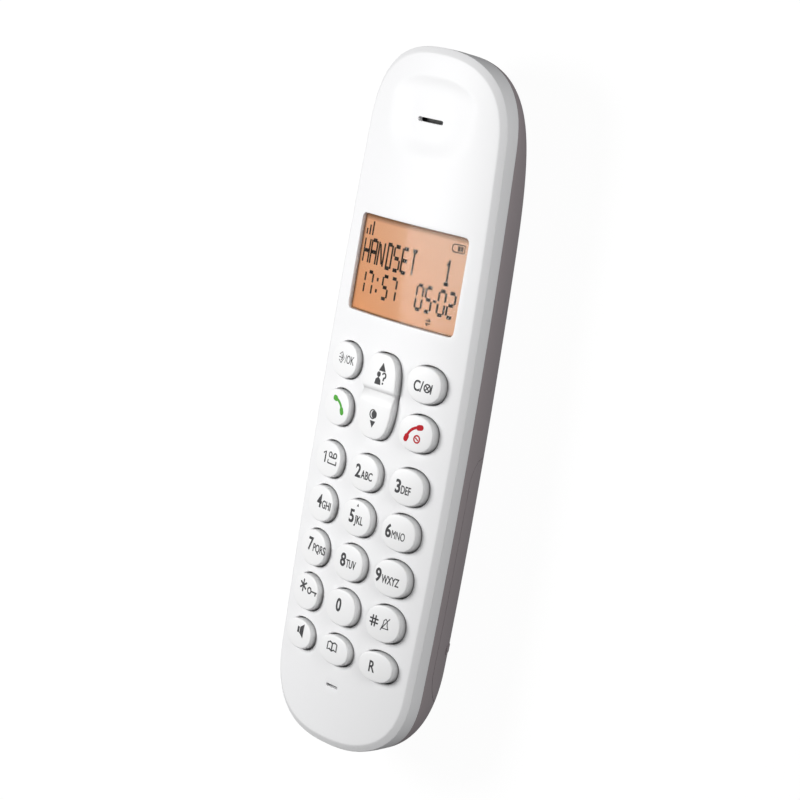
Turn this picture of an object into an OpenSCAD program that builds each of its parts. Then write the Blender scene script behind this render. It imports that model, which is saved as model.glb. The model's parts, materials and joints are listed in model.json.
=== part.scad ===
// Cordless telephone handset, lying on its back.
// Origin: middle of the box that holds it, on the surface that it rests on.
// +X is to the user's right, +Y is towards the earpiece, +Z points out of the keypad face.

/* [Body] */
// Width of the handset at its widest
body_w = 48; // [46:0.5:52]
// Length of the handset
body_l = 155; // [152:1:165]
// Thickness in the middle of the face, without the keys
body_t = 22; // [22:0.5:24]
// Radius of the crowned keypad face
crown_r = 105; // [95:1:140]
// How much narrower each side is 60 mm from the widest place
side_bow = 1.4; // [0:0.1:1.6]
// Place along the length where the body is widest
bow_y = -5; // [-15:1:15]
// Length of the rounded end at the earpiece
top_round = 19.8; // [15:0.1:24]
// Length of the rounded end at the microphone
low_round = 17.4; // [14:0.1:22]
// Width of the bevel round the face
bevel_w = 1.45; // [0.8:0.05:1.6]
// Drop of the bevel round the face
bevel_h = 0.75; // [0.3:0.05:1.2]
// Wall thickness of the front shell
front_wall = 1.8; // [1.5:0.1:2]
// Wall thickness of the rear shell
rear_wall = 1.6; // [1.2:0.1:1.8]

/* [Keys] */
// Distance between key columns
key_pitch_x = 13.45; // [13.4:0.05:13.9]
// Distance between the number rows
key_pitch_y = 10.14; // [10:0.02:10.2]
// Width of a key
key_w = 9.9; // [9:0.1:10]
// Height of a key along the body
key_h = 7.95; // [7.6:0.05:8.4]
// Height of the keys in the last row along the body
low_key_h = 6.5; // [6.2:0.1:7.2]
// Width of the navigation key
nav_w = 11; // [10.2:0.1:11.6]
// Height of the navigation key along the body
nav_h = 18.8; // [18:0.1:19.4]
// How far the keys stand above the face
key_rise = 1.55; // [1:0.05:2]
// Travel of a key
key_travel = 0.8; // [0.4:0.1:0.8]
// Gap between a key and its hole
key_gap = 0.3; // [0.2:0.05:0.35]

/* [Display] */
// Width of the display opening
lcd_w = 35.4; // [33:0.1:36]
// Height of the display opening
lcd_h = 21.5; // [19:0.1:22]
// Middle of the display along the length
lcd_y = 28.3; // [28:0.1:29]
// How far the window lies below the face
lcd_recess = 0.5; // [0.2:0.1:0.8]

/* [Sound] */
// Middle of the earpiece along the length
ear_y = 61.7; // [61:0.1:62]
// Length of the earpiece slot
ear_slot = 8.2; // [6:0.1:10]
// Middle of the microphone along the length
mic_y = -64.5; // [-65:0.1:-64]
// Length of the microphone slot
mic_slot = 4; // [2:0.1:5]
// Width of the scoop round the earpiece
dish_w = 29; // [26:0.5:30]
// Height of the scoop along the body
dish_h = 18.6; // [17:0.1:19]
// Depth of the scoop
dish_depth = 0.8; // [0.4:0.05:0.9]

/* [Battery] */
// Diameter of one AAA cell
cell_d = 10.5; // [10:0.1:10.5]
// Length of one AAA cell with its button
cell_l = 44.5; // [44:0.1:44.5]
// End of the battery door nearer the earpiece
door_top = -8.6; // [-8.8:0.1:-8.4]
// End of the battery door nearer the microphone
door_low = -64; // [-64:0.1:-63.6]
// Height of the door's side edge above the back
door_side = 12.2; // [12:0.1:12.3]
// Gap round the door
door_gap = 0.15; // [0.1:0.05:0.2]
// Wall thickness of the door
door_wall = 1.2; // [1:0.05:1.25]
// Height of the thumb ridge on the door's flanks
ridge_h = 0.35; // [0.2:0.05:0.4]

/* [Hidden] */
$fn = 64;
eps = 0.01;

// heights above the back
part_z = 15.45;
board_z = 13.3;
board_t = 1;
board_top = board_z + board_t;
bay_roof = 12.3;
bay_low = 5.6;
key_base = 17.2;
plunger_low = 15.65;
mat_low = 15.6;
mat_t = 0.6;
lcd_top = 18.4;
cell_z = 6.95;
crown_z = body_t - crown_r;

// outline
bow_len = 60;
end_power = 2.45;
rear_inset = 0.45;
// section of the rear shell, an oval cut off flat at the back
rear_depth = 24.5;
rear_power = 1.26;
// the back rises towards the earpiece from here
back_rise_y = 26;
back_rise_power = 1.9;
// how far the chin comes in at the back, and how late
chin_in = 11;
chin_power = 1.9;

// key places
row_1 = -16.12;
row_low = -56.2;
row_menu = 6.4;
row_talk = -4.3;
nav_y = 1.05;
key_power = 2.25;
nav_power = 3.1;
flange = 0.9;
flange_h = 5;
plunger_r = 1.5;

// rounding of the door's side edge at its two ends
door_top_r = 5;
door_low_r = 9;

// inner pieces
cell_x = 5.4;
cell_y = (door_top + door_low) / 2;
bay_x = 11.2;
bay_wall = 1.2;
bay_end = 25.1;
cell_plate = 0.4;
// room beyond a cell at each end of the bay
cell_slack = bay_end - bay_wall / 2 - cell_plate - cell_l / 2;
bay_edge = 3.5;
bay_floor_t = 0.7;
skirt_t = 0.9;
bulkhead_t = 1.2;
screw_x = 11.5;
screw_y = -67.8;
screw_r = 1;
screw_head_r = 1.9;
screw_head_z = 8;
screw_seat_z = 9.5;
screw_well_r = 2.4;
screw_tube_r = 3.6;
board_screw_x = 16.5;
board_screw_y = 13.5;
board_screw_r = 0.8;
thread_depth = 1.6;
post_r = 2.4;
board_post_r = 2;
speaker_r = 10;
speaker_top = 18.9;
dish_up = 0.2;
dish_power = 2.6;
ear_slot_w = 0.9;
mic_slot_w = 0.6;
mic_r = 3;
mic_boot_r = 3.9;
loud_y = 20;
loud_r = 11;
contact_x = 7;
contact_y = -74.5;
contact_z = 8.6;
contact_tilt = 24;
contact_turn = 13.5;
contact_size = [5, 1.2, 4.6];
ridge_y = -52;
ridge_l = 2.2;

// ---- outlines -------------------------------------------------------------------------------

// half width of the body at a place along its length
function half_w(y) = body_w / 2 - side_bow * pow((y - bow_y) / bow_len, 2);

// one quarter of a rounded end, from the side to the middle of the end
function corner(w, h, steps) =
    [for (i = [1 : steps]) let (a = 90 * i / steps)
        [w * pow(max(cos(a), 0), 2 / end_power), h * pow(sin(a), 2 / end_power)]];

// right half of the outline from the microphone end to the earpiece end
function right_half(inset, steps, bands) =
    let (y0 = -body_l / 2 + low_round, y1 = body_l / 2 - top_round,
         low = corner(half_w(y0) - inset, low_round - inset, steps),
         top = corner(half_w(y1) - inset, top_round - inset, steps))
    concat([for (i = [steps - 1 : -1 : 0]) [low[i][0], y0 - low[i][1]]],
           [for (i = [0 : bands]) let (y = y0 + (y1 - y0) * i / bands) [half_w(y) - inset, y]],
           [for (p = top) [p[0], y1 + p[1]]]);

// whole outline, a distance inside the widest one
function outline(inset, steps = 14, bands = 8) =
    let (r = right_half(inset, steps, bands), n = len(r))
    concat(r, [for (i = [n - 2 : -1 : 1]) [-r[i][0], r[i][1]]]);

// rounded oval for keys and wells
function oval(w, h, power = key_power, steps = 40) =
    [for (i = [0 : steps - 1]) let (a = 360 * (i + 0.5) / steps, c = cos(a), s = sin(a))
        [sign(c) * w / 2 * pow(abs(c), 2 / power), sign(s) * h / 2 * pow(abs(s), 2 / power)]];

// rest of an oval profile at a fraction of its depth
function fall(depth, full, power) = pow(max(1 - pow(depth / full, power), 0), 1 / power);

// ---- building blocks ------------------------------------------------------------------------

module slab(points, z0, z1) {
    translate([0, 0, z0]) linear_extrude(z1 - z0) polygon(points);
}

// everything under the crowned face, lowered by a distance
module under_crown(drop = 0) {
    translate([0, body_l, crown_z]) rotate([90, 0, 0])
        cylinder(h = 2 * body_l, r = crown_r - drop, $fn = 240);
}

// a prism cut to the crown
module crowned(points, z0, drop = 0) {
    intersection() {
        slab(points, z0, body_t + 5);
        under_crown(drop);
    }
}

module box_at(x, y, z0, w, h, z1) {
    translate([x - w / 2, y - h / 2, z0]) cube([w, h, z1 - z0]);
}

module disc(x, y, z0, r, z1) {
    translate([x, y, z0]) cylinder(h = z1 - z0, r = r);
}

module ring(x, y, z0, r_out, r_in, z1) {
    difference() {
        disc(x, y, z0, r_out, z1);
        disc(x, y, z0 - 1, r_in, z1 + 1);
    }
}

module rounded_rect(w, h, r) {
    union() {
        square([w - 2 * r, h], center = true);
        square([w, h - 2 * r], center = true);
        for (sx = [-1, 1], sy = [-1, 1]) translate([sx * (w / 2 - r), sy * (h / 2 - r)]) circle(r);
    }
}

// a slot with round ends, through z0 to z1
module slot_cut(y, length, width, z0, z1) {
    translate([0, y, z0]) linear_extrude(z1 - z0) union() {
        square([length - width, width], center = true);
        for (s = [-1, 1]) translate([s * (length - width) / 2, 0]) circle(width / 2);
    }
}

// one level of the rear body, inside its outer surface by a distance
module rear_level(z, inset) {
    depth = part_z - z;
    wide = (body_w / 2 - rear_inset - inset) * fall(depth, rear_depth - inset, rear_power);
    far = body_l / 2 - rear_inset - inset;
    top = back_rise_y + (far - back_rise_y) * fall(depth, part_z + eps - inset, back_rise_power);
    low = far - chin_in * (1 - fall(depth, part_z + eps - inset, chin_power));
    narrowing = wide / (body_w / 2 - rear_inset - inset);
    shortening = (top + low) / (2 * far);
    level = [for (p = outline(rear_inset + inset, 9, 5)) [p[0] * narrowing, (p[1] + far) * shortening - low]];
    slab(level, z, z + eps);
}

// the rear body as a solid
module rear_body(inset = 0) {
    levels = [0, 0.7, 1.8, 3.4, 5.2, 7.2, 9.4, 11.7, 13.8, part_z - inset - eps];
    hull() for (l = levels) rear_level(inset + l, inset);
}

// the block that separates the battery door from the rear shell
module door_block(gap) {
    top_corner = door_top_r + gap;
    low_corner = door_low_r + gap;
    h = door_side + gap;
    y0 = door_low - gap;
    y1 = door_top + gap;
    rotate([90, 0, 90]) translate([0, 0, -body_w]) linear_extrude(2 * body_w) union() {
        translate([y0, -5]) square([y1 - y0, h + 5 - top_corner]);
        translate([y0 + low_corner, -5]) square([y1 - y0 - low_corner - top_corner, h + 5]);
        translate([y0, 0]) square([low_corner + eps, h - low_corner]);
        translate([y0 + low_corner, h - low_corner]) circle(low_corner);
        translate([y1 - top_corner, h - top_corner]) circle(top_corner);
    }
}

// ---- keys -----------------------------------------------------------------------------------

// one key: cap that follows the crown, side tabs that hold it in, plunger under it
module key(col, y, h = key_h) {
    x = col * key_pitch_x;
    color("white") union() {
        intersection() {
            translate([x, y, key_base]) linear_extrude(body_t) polygon(oval(key_w, h));
            under_crown(-key_rise);
        }
        intersection() {
            box_at(x, y, key_base, key_w + 2 * flange, flange_h, body_t);
            under_crown(front_wall + 0.3);
        }
        disc(x, y, plunger_low, plunger_r, key_base + eps);
    }
}

module key_hole(x, y, w, h, power = key_power) {
    translate([x, y, part_z]) linear_extrude(body_t)
        polygon(oval(w + 2 * key_gap, h + 2 * key_gap, power));
}

module key_holes() {
    for (c = [-1, 1], y = [row_menu, row_talk]) key_hole(c * key_pitch_x, y, key_w, key_h);
    for (c = [-1 : 1], r = [0 : 3]) key_hole(c * key_pitch_x, row_1 - r * key_pitch_y, key_w, key_h);
    for (c = [-1 : 1]) key_hole(c * key_pitch_x, row_low, key_w, low_key_h);
    key_hole(0, nav_y, nav_w, nav_h, nav_power);
}

// places of the switches under the keys
switch_places = concat([for (c = [-1, 1], y = [row_menu, row_talk]) [c * key_pitch_x, y]],
                       [for (c = [-1 : 1], r = [0 : 3]) [c * key_pitch_x, row_1 - r * key_pitch_y]],
                       [for (c = [-1 : 1]) [c * key_pitch_x, row_low]],
                       [for (s = [-1, 1]) [0, nav_y + s * 7]]);

module key_navigation() color("white") {
    trough = 1.1;
    union() {
        intersection() {
            translate([0, nav_y, key_base]) linear_extrude(body_t) polygon(oval(nav_w, nav_h, nav_power, 56));
            difference() {
                under_crown(-key_rise);
                // the dip across the middle that parts the two halves
                translate([-nav_w, nav_y + 0.9, body_t + key_rise + 2.4]) rotate([0, 90, 0])
                    cylinder(h = 2 * nav_w, r = trough + 1.9);
            }
        }
        intersection() {
            box_at(0, nav_y, key_base, nav_w + 2 * flange, flange_h, body_t);
            under_crown(front_wall + 0.3);
        }
        for (s = [-1, 1]) disc(0, nav_y + s * 7, plunger_low, plunger_r, key_base + eps);
    }
}

// ---- casing ---------------------------------------------------------------------------------

module front_outer() {
    hull() {
        crowned(outline(0), part_z, bevel_h);
        crowned(outline(bevel_w), part_z, 0);
    }
}

module front_shell() color("whitesmoke") {
    difference() {
        union() {
            difference() {
                front_outer();
                crowned(outline(front_wall), part_z - 1, front_wall);
            }
            // screw posts, board posts, and the rings round the earpiece and microphone
            for (s = [-1, 1]) {
                intersection() {
                    disc(s * screw_x, screw_y, board_z - 0.1, post_r, body_t);
                    under_crown(front_wall - 0.3);
                }
                intersection() {
                    disc(s * board_screw_x, board_screw_y, board_top, board_post_r, body_t);
                    under_crown(front_wall - 0.3);
                }
            }
            intersection() {
                union() {
                    ring(0, ear_y, part_z, speaker_r + 1.2, speaker_r + 0.2, body_t);
                    ring(0, mic_y, part_z + 0.5, mic_boot_r + 1.1, mic_boot_r + 0.2, body_t);
                }
                under_crown(front_wall - 0.3);
            }
        }
        key_holes();
        // display opening
        translate([0, lcd_y, part_z]) linear_extrude(body_t) rounded_rect(lcd_w, lcd_h, 1.2);
        // dished earpiece with its slot
        difference() {
            translate([0, ear_y + dish_up, part_z]) linear_extrude(body_t)
                polygon(oval(dish_w, dish_h, dish_power, 48));
            under_crown(dish_depth);
        }
        slot_cut(ear_y, ear_slot, ear_slot_w, part_z, body_t + 1);
        slot_cut(mic_y, mic_slot, mic_slot_w, part_z, body_t + 1);
        for (s = [-1, 1]) {
            disc(s * screw_x, screw_y, part_z - 4, screw_r + 0.05, part_z + thread_depth + 0.4);
            disc(s * board_screw_x, board_screw_y, board_z, board_screw_r + 0.05, part_z + thread_depth + 0.2);
        }
    }
}

module rear_shell() color([0.45, 0.42, 0.43]) {
    floor_low = door_low - 1.6;
    floor_top = door_top + 1.6;
    floor_mid = (floor_low + floor_top) / 2;
    floor_l = floor_top - floor_low;
    difference() {
        union() {
            difference() {
                rear_body(0);
                rear_body(rear_wall);
                translate([0, 0, part_z - eps]) cube([2 * body_w, 2 * body_l, 0.1], center = true);
                door_block(door_gap);
            }
            // floor of the battery bay, its skirt and the ledge that joins it to the rim
            intersection() {
                union() {
                    slab(outline(bay_edge), bay_roof, bay_roof + bay_floor_t);
                    difference() {
                        slab(outline(bay_edge), bay_roof, mat_low - 0.2);
                        slab(outline(bay_edge + skirt_t), bay_roof - 1, part_z + 1);
                    }
                    difference() {
                        slab(outline(1.8), door_side + door_gap, part_z - 1.1);
                        slab(outline(bay_edge + skirt_t), bay_roof, part_z + 1);
                    }
                }
                box_at(0, floor_mid, 0, 2 * body_w, floor_l, part_z + 1);
            }
            // bulkheads at both ends of the door
            intersection() {
                union() {
                    for (y = [floor_low + bulkhead_t / 2, floor_top - bulkhead_t / 2])
                        box_at(0, y, 0, 2 * body_w, bulkhead_t, bay_roof + bay_floor_t);
                }
                rear_body(rear_wall - 0.3);
            }
            // walls of the battery bay
            for (s = [-1, 1]) {
                box_at(s * (bay_x + bay_wall / 2), cell_y, bay_low, bay_wall, 2 * bay_end, bay_roof + eps);
                box_at(0, cell_y + s * bay_end, bay_low, 2 * (bay_x + bay_wall), bay_wall, bay_roof + eps);
            }
            // screw tubes and the seat of the loudspeaker
            intersection() {
                union() {
                    for (s = [-1, 1]) disc(s * screw_x, screw_y, 0, screw_tube_r, board_z - 0.5);
                    ring(0, loud_y, 0.5, 10.5, 8.7, 3.2);
                    ring(0, loud_y, 0.5, loud_r + 1.2, loud_r + 0.2, 6);
                }
                rear_body(0.3);
            }
        }
        // wells and seats of the case screws
        for (s = [-1, 1]) {
            disc(s * screw_x, screw_y, -1, screw_well_r, screw_seat_z);
            disc(s * screw_x, screw_y, -1, screw_r + 0.15, part_z);
        }
        // sound slots of the loudspeaker
        for (i = [-2 : 2]) slot_cut(loud_y + i * 2.6, 9, 1.2, -1, 2.2);
        // pockets of the charging contacts
        for (s = [-1, 1]) contact_plate(s);
    }
}

module battery_door() color([0.45, 0.42, 0.43]) {
    union() {
        intersection() {
            difference() {
                rear_body(0);
                rear_body(door_wall);
            }
            door_block(0);
        }
        // ribs that keep the cells from rattling
        intersection() {
            for (y = [cell_y - 12, cell_y + 12]) box_at(0, y, 0, 2.4, 1.2, 3.2);
            rear_body(door_wall - 0.3);
        }
        // thumb ridge round the flanks, flush with the flat of the back
        intersection() {
            difference() {
                rear_body(-ridge_h);
                rear_body(door_wall / 2);
            }
            box_at(0, ridge_y, 0, 2 * body_w, ridge_l, door_side - 1.5);
        }
    }
}

// ---- display --------------------------------------------------------------------------------

module display_window() color([0.95, 0.68, 0.48, 0.8]) {
    intersection() {
        translate([0, lcd_y, lcd_top + 0.1]) linear_extrude(body_t) rounded_rect(lcd_w - 0.2, lcd_h - 0.2, 1.1);
        under_crown(lcd_recess);
    }
}

module lcd_glass() color("darkorange") {
    box_at(0, lcd_y, lcd_top - 1.6, 36, 23.5, lcd_top);
}

module backlight_guide() color("orange") {
    box_at(0, lcd_y + 1.3, board_top + 0.6, 33.6, 19.4, lcd_top - 1.65);
}

module lcd_holder() color("ivory") {
    difference() {
        box_at(0, lcd_y, board_top, 36.6, 24.4, lcd_top - 1.6);
        box_at(0, lcd_y + 1.3, board_top + 0.6, 33.8, 19.6, lcd_top);
        box_at(0, lcd_y - 10.2, board_top - 1, 30.2, 2.2, lcd_top);
    }
}

module lcd_connector() color("dimgray") {
    box_at(0, lcd_y - 10.2, board_top, 30, 2, lcd_top - 1.6);
}

// ---- keypad ---------------------------------------------------------------------------------

module keypad_mat() color("gainsboro") {
    difference() {
        translate([0, -24.4, mat_low]) linear_extrude(mat_t) rounded_rect(38.4, 71.6, 4);
        for (p = switch_places) disc(p[0], p[1], mat_low - 1, plunger_r + 0.3, mat_low + 1);
    }
}

module dome_sheet() color("silver") {
    union() {
        translate([0, -24, board_top]) linear_extrude(0.12) rounded_rect(36, 71, 2);
        for (p = switch_places) translate([p[0], p[1], board_top + 0.12])
            cylinder(h = 0.25, r1 = 2.4, r2 = 1.4, $fn = 32);
    }
}

// ---- electronics ----------------------------------------------------------------------------

module main_board() color("darkgreen") {
    difference() {
        translate([0, 0, board_z]) linear_extrude(board_t)
            polygon([[18, 50], [18, -60], [8.5, -60], [8.5, -71],
                     [-8.5, -71], [-8.5, -60], [-18, -60], [-18, 50]]);
        for (s = [-1, 1]) disc(s * board_screw_x, board_screw_y, board_z - 1, 1.1, board_top + 1);
    }
}

module rf_shield() color("silver") {
    difference() {
        box_at(0, 27, board_z - 2.5, 26, 24, board_z);
        box_at(0, 27, board_z - 2.2, 25.4, 23.4, board_z + 1);
    }
}

module radio_chip() color([0.15, 0.15, 0.16]) {
    box_at(0, 27, board_z - 1.1, 9, 9, board_z);
}

module antenna() color("goldenrod") {
    union() {
        box_at(0, 46.5, board_top + 2.6, 30, 3, board_top + 3);
        box_at(-14, 46.5, board_top, 1, 3, board_top + 3);
        box_at(-9, 46.5, board_top, 1, 3, board_top + 3);
    }
}

module earpiece_speaker() color("dimgray") {
    union() {
        disc(0, ear_y, speaker_top - 3, speaker_r, speaker_top);
        disc(0, ear_y, speaker_top - 4.5, 6.5, speaker_top - 3 + eps);
    }
}

module earpiece_gasket() color("black") {
    ring(0, ear_y, speaker_top, 9.4, 7.2, speaker_top + 0.7);
}

module earpiece_cloth() color([0.05, 0.05, 0.05]) {
    disc(0, ear_y, speaker_top + 0.05, 6.8, speaker_top + 0.6);
}

module microphone() color("silver") {
    disc(0, mic_y, 16.5, mic_r, 18.9);
}

module microphone_boot() color([0.12, 0.12, 0.12]) {
    difference() {
        disc(0, mic_y, 16, mic_boot_r, 19.4);
        disc(0, mic_y, 16.5, mic_r, 18.9);
        disc(0, mic_y, 18.5, 1.2, 20);
    }
}

module loudspeaker() color("dimgray") {
    union() {
        disc(0, loud_y, 4, loud_r, 6.6);
        disc(0, loud_y, 6.6 - eps, 7.5, 8.6);
    }
}

module loudspeaker_gasket() color("black") {
    ring(0, loud_y, 3.2, 9.6, 8.8, 4);
}

// ---- battery and contacts -------------------------------------------------------------------

// one cell, button end towards +Y when dir is 1
module cell(x, dir) color("seagreen") {
    translate([x, cell_y + dir * cell_slack, cell_z]) rotate([-90 * dir, 0, 0]) union() {
        translate([0, 0, -cell_l / 2]) cylinder(h = cell_l - 0.9, r = cell_d / 2);
        translate([0, 0, cell_l / 2 - 0.9 - eps]) cylinder(h = 0.9, r = 1.9);
    }
}

module left_cell() cell(-cell_x, 1);

module right_cell() cell(cell_x, -1);

// conical springs at the flat end of each cell
module cell_springs() color("silver") {
    length = 2 * cell_slack - eps;
    for (s = [-1, 1]) translate([s * cell_x, cell_y + s * (cell_l / 2 - cell_slack + eps), cell_z])
        rotate([-90 * s, 0, 0]) difference() {
            cylinder(h = length, r1 = 2.2, r2 = 3.8);
            translate([0, 0, -1]) cylinder(h = length + 2, r = 1.5);
        }
}

// plates behind the springs and at the button ends
module cell_plates() color("silver") {
    inner = bay_end - bay_wall / 2;
    for (s = [-1, 1], e = [-1, 1])
        box_at(s * cell_x, cell_y + e * (inner - cell_plate / 2), bay_low, 8, cell_plate, bay_roof);
}

module contact_plate(s) {
    union() {
        translate([s * contact_x, contact_y, contact_z]) rotate([contact_tilt, 0, s * contact_turn])
            cube(contact_size, center = true);
        box_at(s * contact_x, contact_y + 0.7, contact_z, 3, 1, board_z);
    }
}

module charge_contacts() color("gold") {
    for (s = [-1, 1]) union() {
        contact_plate(s);
        box_at(s * contact_x, contact_y + 2.7, board_z - 0.4, 3, 5, board_z);
    }
}

module case_screws() color("silver") {
    for (s = [-1, 1]) difference() {
        union() {
            disc(s * screw_x, screw_y, screw_head_z, screw_head_r, screw_seat_z);
            disc(s * screw_x, screw_y, screw_seat_z - eps, screw_r, part_z + thread_depth);
        }
        disc(s * screw_x, screw_y, screw_head_z - 1, 0.7, screw_head_z + 0.8);
    }
}

module board_screws() color("silver") {
    for (s = [-1, 1]) union() {
        disc(s * board_screw_x, board_screw_y, board_z - 1.1, 1.8, board_z);
        disc(s * board_screw_x, board_screw_y, board_z - eps, board_screw_r, part_z + thread_depth);
    }
}

// ---- what is drawn --------------------------------------------------------------------------

front_shell();
rear_shell();
battery_door();
display_window();
lcd_glass();
backlight_guide();
lcd_holder();
lcd_connector();
keypad_mat();
dome_sheet();
main_board();
rf_shield();
radio_chip();
antenna();
earpiece_speaker();
earpiece_gasket();
earpiece_cloth();
microphone();
microphone_boot();
loudspeaker();
loudspeaker_gasket();
left_cell();
right_cell();
cell_springs();
cell_plates();
charge_contacts();
case_screws();
board_screws();
key(-1, row_menu);  // key_menu
key_navigation();
key(1, row_menu);  // key_clear
key(-1, row_talk);  // key_talk
key(1, row_talk);  // key_end
key(-1, row_1);  // key_1
key(0, row_1);  // key_2
key(1, row_1);  // key_3
key(-1, row_1 - key_pitch_y);  // key_4
key(0, row_1 - key_pitch_y);  // key_5
key(1, row_1 - key_pitch_y);  // key_6
key(-1, row_1 - 2 * key_pitch_y);  // key_7
key(0, row_1 - 2 * key_pitch_y);  // key_8
key(1, row_1 - 2 * key_pitch_y);  // key_9
key(-1, row_1 - 3 * key_pitch_y);  // key_star
key(0, row_1 - 3 * key_pitch_y);  // key_0
key(1, row_1 - 3 * key_pitch_y);  // key_hash
key(-1, row_low, low_key_h);  // key_speaker
key(0, row_low, low_key_h);  // key_phonebook
key(1, row_low, low_key_h);  // key_recall
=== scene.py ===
"""A cordless telephone handset lying on its back, with its amber display lit.

Lengths are in millimetres, in the frame of the CAD model, until new_object turns them into metres.
"""

from math import atan2, cos, degrees, dist, hypot, pi, radians, sin, sqrt

import bmesh
import bpy
import numpy as np
from mathutils import Euler, Matrix, Vector
from mathutils.geometry import delaunay_2d_cdt
from mathutils.kdtree import KDTree
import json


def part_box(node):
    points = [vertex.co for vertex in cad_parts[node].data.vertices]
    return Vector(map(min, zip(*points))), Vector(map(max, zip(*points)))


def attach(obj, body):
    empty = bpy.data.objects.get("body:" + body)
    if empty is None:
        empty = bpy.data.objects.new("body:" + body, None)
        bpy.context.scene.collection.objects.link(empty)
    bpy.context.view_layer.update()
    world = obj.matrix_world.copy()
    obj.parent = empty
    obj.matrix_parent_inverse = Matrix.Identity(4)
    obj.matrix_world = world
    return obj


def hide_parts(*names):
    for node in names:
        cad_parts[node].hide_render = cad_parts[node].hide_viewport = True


MM = 0.001

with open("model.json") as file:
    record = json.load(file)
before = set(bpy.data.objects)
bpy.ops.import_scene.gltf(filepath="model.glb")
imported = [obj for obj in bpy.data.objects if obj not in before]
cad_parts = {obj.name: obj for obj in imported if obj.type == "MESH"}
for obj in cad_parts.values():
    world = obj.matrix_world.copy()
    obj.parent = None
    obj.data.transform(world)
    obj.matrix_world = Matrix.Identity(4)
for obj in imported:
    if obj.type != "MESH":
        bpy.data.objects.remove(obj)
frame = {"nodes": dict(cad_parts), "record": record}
scene = bpy.context.scene
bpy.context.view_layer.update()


def span(node):
    """Lowest and highest corner of a CAD node, in millimetres."""
    low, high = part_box(node)
    return np.array(low) / MM, np.array(high) / MM


def middle(node):
    low, high = span(node)
    return (low + high) / 2


# ---- sizes that the frame gives ----

HALF_W, HALF_L, FACE_TOP = span("front_shell")[1]
PARTING = span("rear_shell")[1][2]
DOOR_LOW, DOOR_HIGH = span("battery_door")
WINDOW = middle("display_window")
WINDOW_LOW, WINDOW_HIGH = span("display_window")
WINDOW_SIZE = WINDOW_HIGH - WINDOW_LOW
KEY_RISE = span("key_5")[1][2] - FACE_TOP
EAR_Y = middle("earpiece_speaker")[1]
MIC_Y = middle("microphone")[1]
LOUD_Y = middle("loudspeaker")[1]
SCREW_Y = middle("case_screws")[1]
SCREW_HEAD_R = 1.9
SCREW_X = span("case_screws")[1][0] - SCREW_HEAD_R

# ---- sizes that the CAD model shares ----

CROWN_R = 105.0  # radius of the face across
SIDE_BOW = 1.4  # how far the sides come in over BOW_LENGTH
BOW_Y = -5.0
BOW_LENGTH = 60.0
TOP_ROUND = 19.8
LOW_ROUND = 17.4
END_POWER = 2.45  # powers: 2 is an ellipse, higher is squarer
BEVEL_W = 1.45
BEVEL_H = 0.75
FRONT_WALL = 1.8
WINDOW_GAP = 0.1
KEY_GAP = 0.3
KEY_BASE = 17.2
FLANGE = 0.9
FLANGE_T = 0.8
KEY_POWER = 2.25
NAV_POWER = 3.1
DISH_POWER = 2.6
REAR_INSET = 0.45
REAR_DEPTH = 24.5
REAR_POWER = 1.26
REAR_WALL = 1.6
REAR_POINTS = 200
BACK_RISE_Y = 26.0
BACK_RISE_POWER = 1.9
CHIN_IN = 11.0
CHIN_POWER = 1.9
DOOR_GAP = 0.15
DOOR_WALL = 1.2
DOOR_ROUND = (5, 9)  # radii of its seam's corners, earpiece end first
RIDGE_Y = -52.0
RIDGE_SIZE = (1.8, 0.28)  # along the body, and proud of it
RIDGE_HIGH = (2.0, 5.4)
SEAM = 0.06
EAR_SLOT = (8.2, 0.9)
MIC_SLOT = (4.0, 0.6)
LOUD_SLOT = (9.0, 1.2)
LOUD_PITCH = 2.6
SCREW_HOLE_R = 2.4
SCREW_TUBE_R = 3.4

# ---- outlines ----


def arc(x, y, r, start, end, count):
    """Points on part of a circle, with its ends in degrees."""
    turns = np.radians(np.linspace(start, end, count))
    return [(x + r * cos(a), y + r * sin(a)) for a in turns]


def rectangle(x, y, w, h):
    """The corners of an upright rectangle about its middle."""
    return [(x + sx * w / 2, y + sy * h / 2) for sx, sy in ((-1, -1), (1, -1), (1, 1), (-1, 1))]


def resampled(points, count, closed=False):
    """The same line with its points evenly spaced."""
    points = np.asarray(points, float)
    if closed:
        points = np.vstack([points, points[:1]])
    lengths = np.r_[0, np.cumsum(np.linalg.norm(np.diff(points, axis=0), axis=1))]
    at = np.linspace(0, lengths[-1], count + 1 if closed else count)
    line = np.column_stack([np.interp(at, lengths, points[:, k]) for k in range(2)])
    return line[:-1] if closed else line


def side_half_width(y):
    return HALF_W - SIDE_BOW * ((y - BOW_Y) / BOW_LENGTH) ** 2


def end_half_width(y, y_end):
    """The side's width carried on past y_end with its slope easing off."""
    ease = 5.0
    slope = -2 * SIDE_BOW * (y_end - BOW_Y) / BOW_LENGTH**2
    return side_half_width(y_end) + slope * ease * np.tanh((y - y_end) / ease)


def body_outline(half_count=320):
    """The handset's outline from the microphone end, up the right side and down the left."""
    low_y = -HALF_L + LOW_ROUND
    top_y = HALF_L - TOP_ROUND
    steps = 500
    turn = np.linspace(0, pi / 2, steps)
    up = np.sin(turn) ** (2 / END_POWER)
    across = np.abs(np.cos(turn)) ** (2 / END_POWER)
    low = low_y - LOW_ROUND * up[::-1]
    side = np.linspace(low_y, top_y, steps)[1:-1]
    top = top_y + TOP_ROUND * up
    low_x = end_half_width(low, low_y) * across[::-1]
    top_x = end_half_width(top, top_y) * across
    x = np.concatenate([low_x, side_half_width(side), top_x])
    y = np.concatenate([low, side, top])
    right = resampled(np.column_stack([x, y]), half_count + 1)
    left = right[-2:0:-1] * [-1, 1]
    return np.vstack([right, left])


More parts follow.
